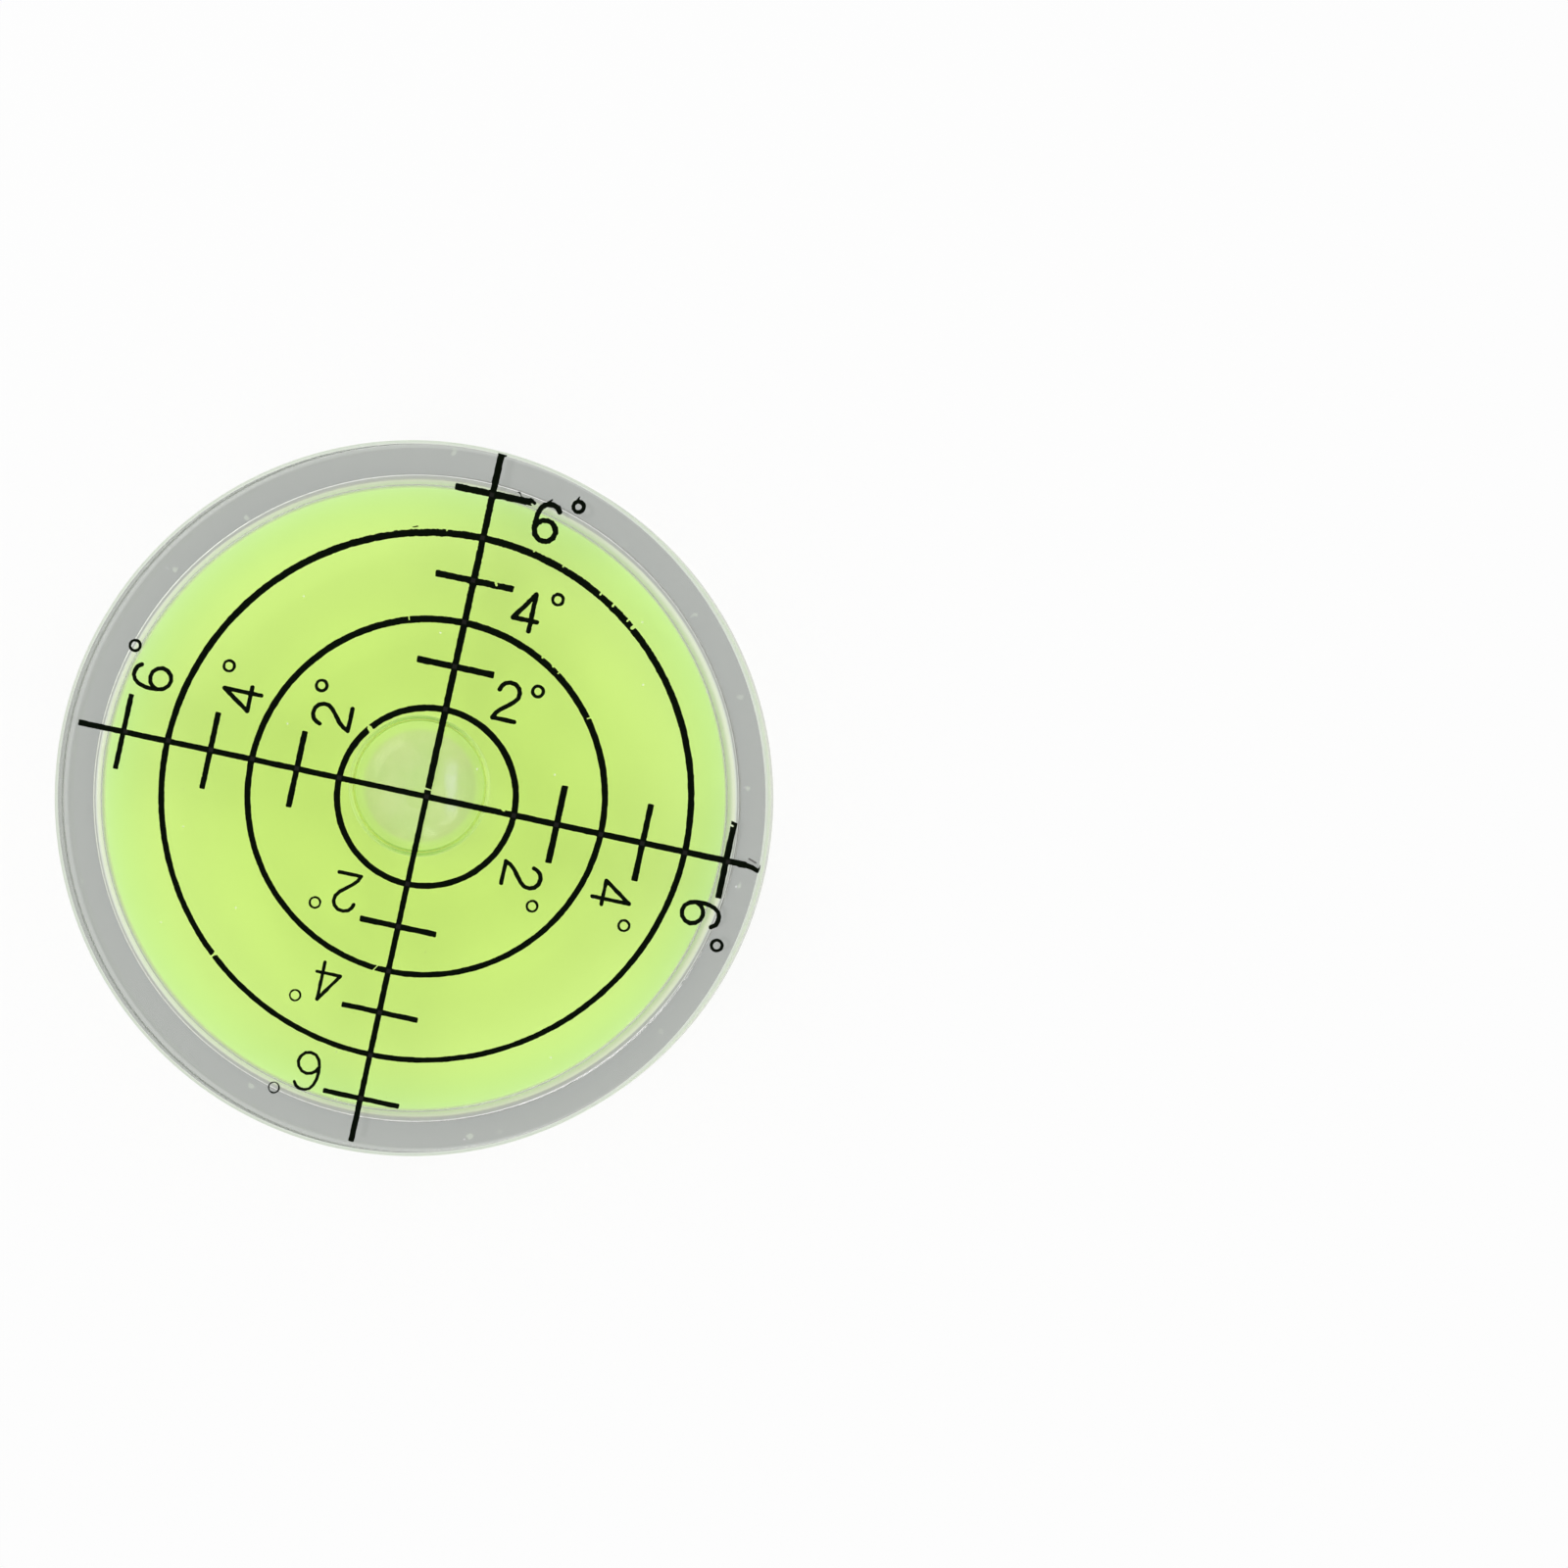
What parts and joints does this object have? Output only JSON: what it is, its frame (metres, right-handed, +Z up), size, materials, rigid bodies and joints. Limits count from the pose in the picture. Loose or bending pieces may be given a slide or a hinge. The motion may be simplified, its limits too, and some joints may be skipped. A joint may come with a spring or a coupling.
{
  "type": "bullseye level",
  "caption": "Round bullseye spirit level: clear cup with a concave roof over green fluid and a bubble, printed crosshair dial on top, white stepped plate below.",
  "frame": {"origin": "centre of the underside, in the plane of the cup's lower rim, which the level stands on", "axes": "+Z up through the dial; +X along the printed arm that runs off the edge of the top face, +Y along the next arm, anticlockwise seen from above"},
  "size_m": [0.066, 0.066, 0.011],
  "materials": {
    "clear_acrylic": "clear polished acrylic, faintly grey",
    "white_plastic": "satin moulded off-white plastic with faint yellow-green stains",
    "green_fluid": "clear lime green spirit",
    "sealant": "cured yellowish sealant",
    "black_ink": "printed black ink, a little worn"
  },
  "bodies": {
    "root": {"vial_body": "clear_acrylic", "base_plate": "white_plastic", "level_fluid": "green_fluid", "filler_seal": "sealant", "reticle_print": "black_ink"}
  },
  "joints": []
}
